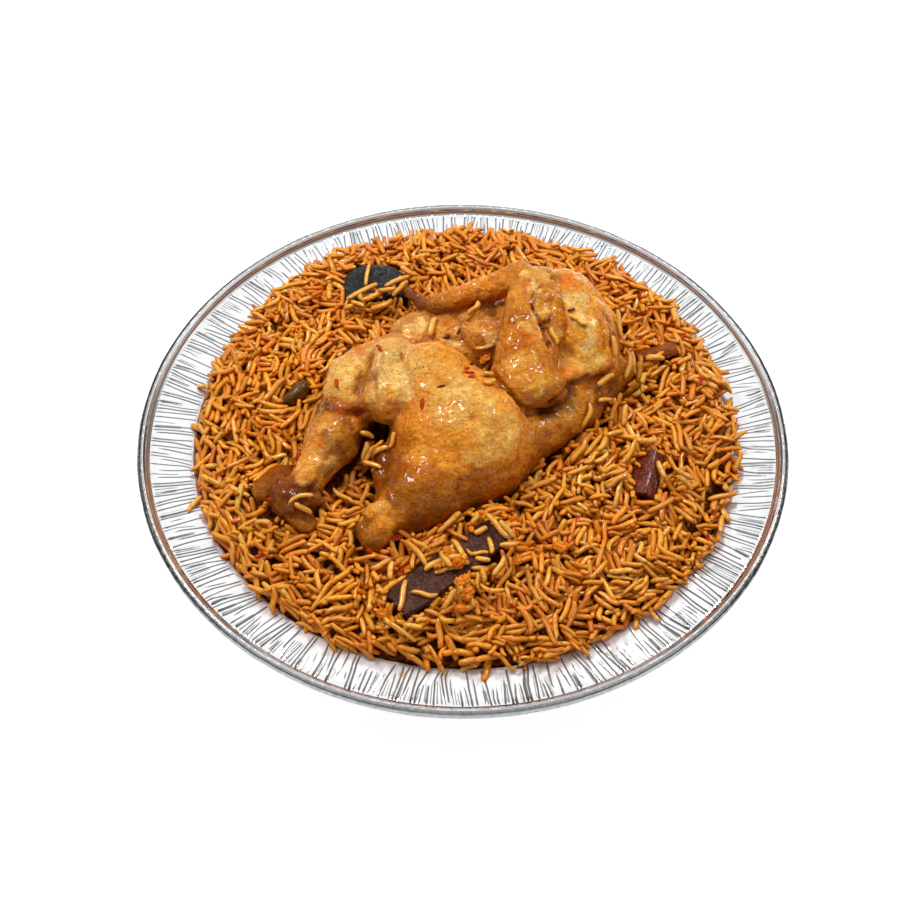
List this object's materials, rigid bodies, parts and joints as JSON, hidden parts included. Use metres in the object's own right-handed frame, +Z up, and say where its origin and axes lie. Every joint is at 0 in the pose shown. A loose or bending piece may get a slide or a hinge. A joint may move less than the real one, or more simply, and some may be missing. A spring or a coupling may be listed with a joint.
{
  "type": "plate of chicken madghout",
  "caption": "Half a roast chicken on a heap of spiced long-grain rice with whole spices, served on a round foil platter with a wide crimped flange.",
  "frame": {"origin": "centre of the platter's flat base, on the surface it stands on", "axes": "+Z up; the front of the platter, nearest the viewer of the picture, is at -Y and +X is to the right"},
  "size_m": [0.35, 0.35, 0.0904],
  "materials": {
    "foil": "bright crimped foil",
    "rice": "moist cooked rice, orange with spices and tomato",
    "chicken_skin": "roast skin, oily and golden brown",
    "dried_lime": "black wrinkled dried lime",
    "cardamom": "soaked green-brown pod",
    "cinnamon_bark": "dark reddish-brown bark",
    "spice_berry": "tan dried berry"
  },
  "bodies": {
    "root": {"foil_platter": "foil", "rice": "rice", "half_chicken": "chicken_skin", "dried_lime": "dried_lime", "cardamom_pod": "cardamom", "bark_front": "cinnamon_bark", "bark_right": "cinnamon_bark", "bark_strip": "cinnamon_bark", "spice_berry": "spice_berry"}
  },
  "joints": []
}
